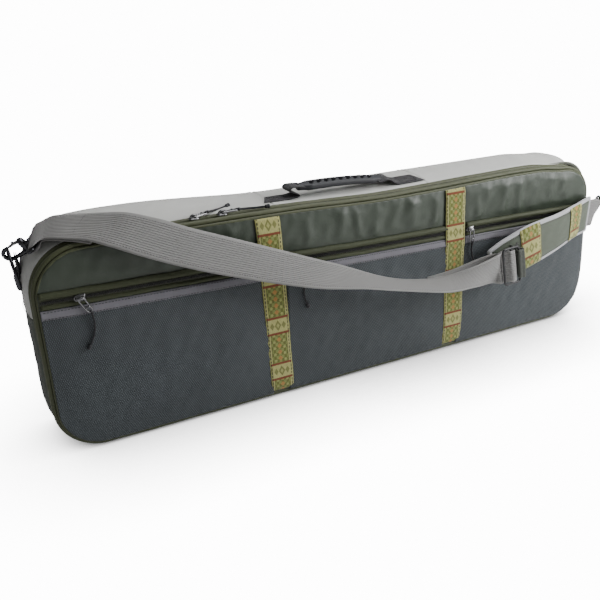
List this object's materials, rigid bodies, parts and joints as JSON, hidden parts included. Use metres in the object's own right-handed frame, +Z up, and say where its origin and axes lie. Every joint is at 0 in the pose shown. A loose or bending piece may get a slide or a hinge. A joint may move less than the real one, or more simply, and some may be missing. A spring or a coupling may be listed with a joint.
{
  "type": "rod case",
  "caption": "Soft-sided fly-rod case: padded zipped clamshell with front mesh pockets, top carry handle and a padded clip-on shoulder strap.",
  "frame": {"origin": "middle of the flat base of the case", "axes": "+X along the case towards its right end seen from the pocket side, +Y from the pocket side to the back, +Z up"},
  "size_m": [0.8579, 0.1492, 0.2794],
  "materials": {
    "grey_nylon": "light grey coated nylon pack cloth, fine plain weave",
    "green_nylon": "dark olive-green coated nylon, slightly shiny and softly wrinkled",
    "green_piping": "olive-green piping over a cord",
    "foam": "dark closed-cell padding",
    "lining": "smooth grey-green nylon lining",
    "zip": "black nylon coil zip on woven tape",
    "pocket_mesh": "slate coated mesh cloth with a fine dot grid",
    "binding": "grey-violet binding tape, stitched along both edges",
    "patterned_ribbon": null,
    "gunmetal": "dark polished zip hardware",
    "pull_cord": "black braided cord with a sealed end",
    "black_metal": "gloss black coated cast metal",
    "black_webbing": "black ribbed nylon webbing",
    "grip_rubber": "matt dark grey moulded rubber with slanted ribs",
    "grey_webbing": "light grey ribbed nylon webbing",
    "black_plastic": "black moulded acetal",
    "pad_fabric": "grey-green cloth over thin padding, grey bound edge",
    "clear_vinyl": "flexible clear vinyl over a light card, stitched edge"
  },
  "bodies": {
    "case": {"back_panel": "green_nylon", "card_window": "clear_vinyl", "case_lining": "lining", "case_padding": "foam", "case_piping": "green_piping", "case_zip_half": "zip", "d_ring_left": "black_metal", "d_ring_right": "black_metal", "gusset_base": "green_nylon", "gusset_top": "grey_nylon", "hinge_strip": "green_nylon", "hook_left": "black_metal", "hook_right": "black_metal", "padded_divider": "foam", "ring_tab_left": "black_webbing", "ring_tab_right": "black_webbing", "rod_strap_left": "black_webbing", "rod_strap_right": "black_webbing"},
    "lid": {"lid_lining": "lining", "lid_padding": "foam", "lid_panel": "green_nylon", "lid_piping": "green_piping", "lid_zip_half": "zip", "pocket_binding_centre": "binding", "pocket_binding_left": "binding", "pocket_binding_right": "binding", "pocket_mesh_centre": "pocket_mesh", "pocket_mesh_left": "pocket_mesh", "pocket_mesh_right": "pocket_mesh", "pocket_zip_centre": "zip", "pocket_zip_left": "zip", "pocket_zip_right": "zip", "ribbon_left": "patterned_ribbon", "ribbon_right": "patterned_ribbon"},
    "handle": {"handle_grip": "grip_rubber", "handle_webbing_left": "black_webbing", "handle_webbing_right": "black_webbing"},
    "strap": {"strap_webbing": "grey_webbing", "adjuster": "black_plastic", "shoulder_pad": "pad_fabric", "pad_ribbon_left": "patterned_ribbon", "pad_ribbon_right": "patterned_ribbon", "strap_end": "grey_webbing"},
    "main_slider_left": {"main_slider_left": "gunmetal"},
    "main_pull_left": {"main_pull_left": "gunmetal", "main_cord_left": "pull_cord"},
    "hook_gate_left": {"hook_gate_left": "black_metal"},
    "main_slider_right": {"main_slider_right": "gunmetal"},
    "main_pull_right": {"main_pull_right": "gunmetal", "main_cord_right": "pull_cord"},
    "hook_gate_right": {"hook_gate_right": "black_metal"},
    "pocket_slider_left": {"pocket_slider_left": "gunmetal"},
    "pocket_pull_left": {"pocket_pull_left": "gunmetal", "pocket_cord_left": "pull_cord"},
    "pocket_slider_centre": {"pocket_slider_centre": "gunmetal"},
    "pocket_pull_centre": {"pocket_pull_centre": "gunmetal", "pocket_cord_centre": "pull_cord"},
    "pocket_slider_right": {"pocket_slider_right": "gunmetal"},
    "pocket_pull_right": {"pocket_pull_right": "gunmetal", "pocket_cord_right": "pull_cord"}
  },
  "joints": [
    {"name": "lid_hinge", "type": "hinge", "parent": "case", "child": "lid", "pos_m": [0, -0.046, 0.001], "axis": [1, 0, 0], "range_deg": [0, 80], "deforming": ["hinge_strip", "strap_webbing", "shoulder_pad", "adjuster", "pad_ribbon_left", "pad_ribbon_right"]},
    {"name": "handle_swing", "type": "hinge", "parent": "case", "child": "handle", "pos_m": [0, -0.006, 0.2565], "axis": [1, 0, 0], "range_deg": [-20, 20], "deforming": ["handle_webbing_left", "handle_webbing_right"]},
    {"name": "strap_swing", "type": "hinge", "parent": "case", "child": "strap", "pos_m": [-0.39004, -0.0018, 0.25565], "axis": [-0.9932, 0.0407, 0.1088], "range_deg": [0, 60], "deforming": ["strap_end"]},
    {"name": "main_slider_left_slide", "type": "slide", "parent": "case", "child": "main_slider_left", "axis": [1, 0, 0], "range_m": [-0.07, 0]},
    {"name": "main_slider_right_slide", "type": "slide", "parent": "case", "child": "main_slider_right", "axis": [1, 0, 0], "range_m": [0, 0.5]},
    {"name": "main_pull_left_flip", "type": "hinge", "parent": "main_slider_left", "child": "main_pull_left", "pos_m": [-0.222, -0.0334, 0.2609], "axis": [0.4067, -0.9135, 0], "range_deg": [0, 150]},
    {"name": "main_pull_right_flip", "type": "hinge", "parent": "main_slider_right", "child": "main_pull_right", "pos_m": [-0.188, -0.0334, 0.2609], "axis": [0.0523, -0.9986, 0], "range_deg": [0, 150]},
    {"name": "pocket_slider_left_slide", "type": "slide", "parent": "lid", "child": "pocket_slider_left", "axis": [0.9997, 0, -0.0234], "range_m": [0, 0.2]},
    {"name": "pocket_pull_left_flip", "type": "hinge", "parent": "pocket_slider_left", "child": "pocket_pull_left", "pos_m": [-0.361, -0.0524, 0.19645], "axis": [-0.8829, 0, -0.4695], "range_deg": [0, 150]},
    {"name": "pocket_slider_centre_slide", "type": "slide", "parent": "lid", "child": "pocket_slider_centre", "axis": [0.9997, 0, -0.0234], "range_m": [0, 0.18]},
    {"name": "pocket_pull_centre_flip", "type": "hinge", "parent": "pocket_slider_centre", "child": "pocket_pull_centre", "pos_m": [-0.098, -0.0524, 0.19029], "axis": [-0.9781, 0, -0.2079], "range_deg": [0, 150]},
    {"name": "pocket_slider_right_slide", "type": "slide", "parent": "lid", "child": "pocket_slider_right", "axis": [0.9997, 0, -0.0234], "range_m": [0, 0.15]},
    {"name": "pocket_pull_right_flip", "type": "hinge", "parent": "pocket_slider_right", "child": "pocket_pull_right", "pos_m": [0.167, -0.0524, 0.18409], "axis": [-0.9903, 0, -0.1392], "range_deg": [0, 150]},
    {"name": "hook_gate_left_press", "type": "hinge", "parent": "case", "child": "hook_gate_left", "pos_m": [-0.4098, 0.00553, 0.25109], "axis": [-0.2926, -0.929, -0.2264], "range_deg": [0, 25], "stiffness_Nm_per_rad": 0.03},
    {"name": "hook_gate_right_press", "type": "hinge", "parent": "case", "child": "hook_gate_right", "pos_m": [0.41358, -0.01616, 0.17572], "axis": [0, 0.4229, -0.9062], "range_deg": [0, 25], "stiffness_Nm_per_rad": 0.03}
  ]
}
